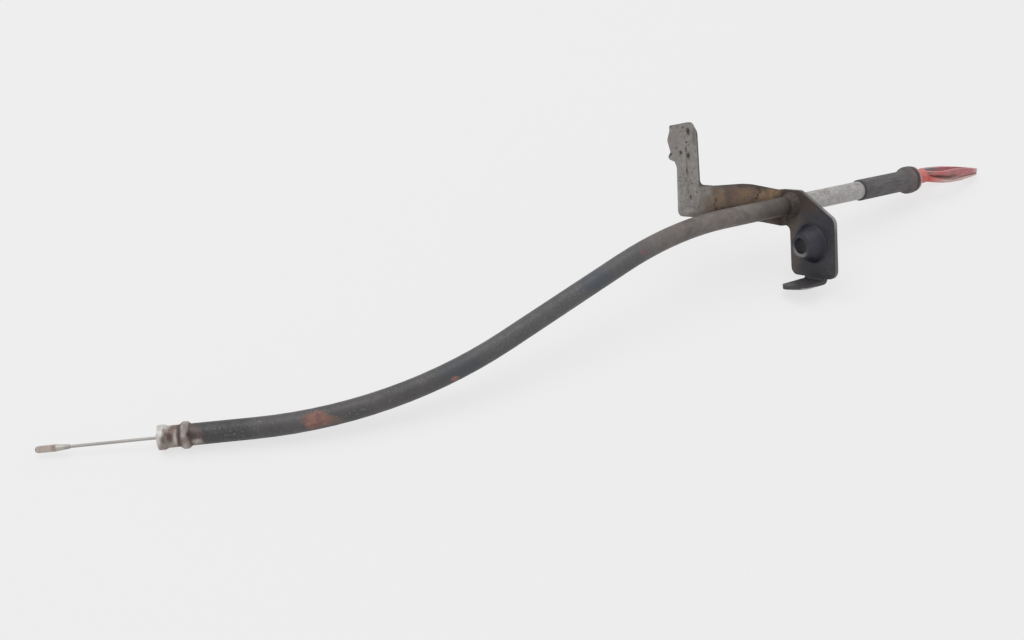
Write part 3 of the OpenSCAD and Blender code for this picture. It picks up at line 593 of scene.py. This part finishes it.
# The board in metres: it ends just past the finger loop, so that a drawn dipstick, which slopes
# down past it, stays in sight.
BOARD_REACH = 6.0
BOARD_END = 0.34
# One wide softbox over the part, in metres and watts.
SOFTBOX_PLACE = (-0.6, 0.7, 3.0)
SOFTBOX_SIDE = 2.6
SOFTBOX_POWER = 42
# The photograph's view: metres, degrees, and the lens and its film in mm.
CAMERA_PLACE = (-0.218405, -0.351165, 0.394153)
CAMERA_TURN = (46.1037, -1.3993, -24.8285)
LENS = 39.2
FILM_WIDTH = 36


def by_eye(tree):
    """1 for what the camera sees, also in metal or through glass; 0 for what lights the part."""
    ray = add(tree, "ShaderNodeLightPath").outputs
    seen = add(tree, "ShaderNodeMath", {0: ray["Is Camera Ray"], 1: ray["Is Glossy Ray"]},
               operation="MAXIMUM").outputs[0]
    return add(tree, "ShaderNodeMath", {0: seen, 1: ray["Is Transmission Ray"]},
               operation="MAXIMUM").outputs[0]


def bench_top():
    """A wide sheet of matt off-white board, which the eye and the metal see lit nearly evenly."""
    finish = bpy.data.materials.new("matt_white_board")
    finish.use_nodes = True
    tree = finish.node_tree
    surface = tree.nodes["Principled BSDF"]
    surface.inputs["Base Color"].default_value = BOARD_COLOUR
    surface.inputs["Roughness"].default_value = 1.0
    surface.inputs["Specular IOR Level"].default_value = 0.0
    share = add(tree, "ShaderNodeMath", {0: by_eye(tree), 1: GLOW_SHARE},
                operation="MULTIPLY").outputs[0]
    glow = add(tree, "ShaderNodeEmission", {"Color": BOARD_GLOW, "Strength": 1.0}).outputs[0]
    mix = add(tree, "ShaderNodeMixShader", {0: share, 1: surface.outputs[0], 2: glow}).outputs[0]
    tree.links.new(mix, tree.nodes["Material Output"].inputs["Surface"])
    mesh = bpy.data.meshes.new("bench_top")
    shape = bmesh.new()
    bmesh.ops.create_grid(shape, x_segments=1, y_segments=1, size=BOARD_REACH)
    bmesh.ops.translate(shape, verts=shape.verts, vec=(BOARD_END - BOARD_REACH, 0, 0))
    shape.to_mesh(mesh)
    shape.free()
    mesh.materials.append(finish)
    board = bpy.data.objects.new("bench_top", mesh)
    bpy.context.collection.objects.link(board)


def white_room():
    """A white room for light, which the eye and the metal see as pale as the board."""
    world = bpy.data.worlds.new("white_room")
    bpy.context.scene.world = world
    world.use_nodes = True
    room = world.node_tree
    lit = room.nodes["Background"]
    lit.inputs["Color"].default_value = ROOM_WHITE
    lit.inputs["Strength"].default_value = ROOM_LIGHT
    look = add(room, "ShaderNodeBackground", {"Color": ROOM_LOOK, "Strength": 1.0}).outputs[0]
    mix = add(room, "ShaderNodeMixShader", {0: by_eye(room), 1: lit.outputs[0], 2: look}).outputs[0]
    room.links.new(mix, room.nodes["World Output"].inputs["Surface"])


def overhead_softbox():
    """A square softbox over the bench, aimed at the middle of the part."""
    lamp = bpy.data.lights.new("overhead_softbox", "AREA")
    lamp.shape = "SQUARE"
    lamp.size = SOFTBOX_SIDE
    lamp.energy = SOFTBOX_POWER
    holder = bpy.data.objects.new("overhead_softbox", lamp)
    holder.location = SOFTBOX_PLACE
    holder.rotation_euler = (-Vector(SOFTBOX_PLACE)).to_track_quat("-Z", "Y").to_euler()
    bpy.context.collection.objects.link(holder)


bench_top()
overhead_softbox()
white_room()

camera = bpy.data.objects.new("camera", bpy.data.cameras.new("camera"))
camera.location = CAMERA_PLACE
camera.rotation_euler = Euler([math.radians(angle) for angle in CAMERA_TURN])
camera.data.lens = LENS
camera.data.sensor_width = FILM_WIDTH
bpy.context.collection.objects.link(camera)
bpy.context.scene.camera = camera
bpy.context.scene.view_settings.view_transform = "Standard"
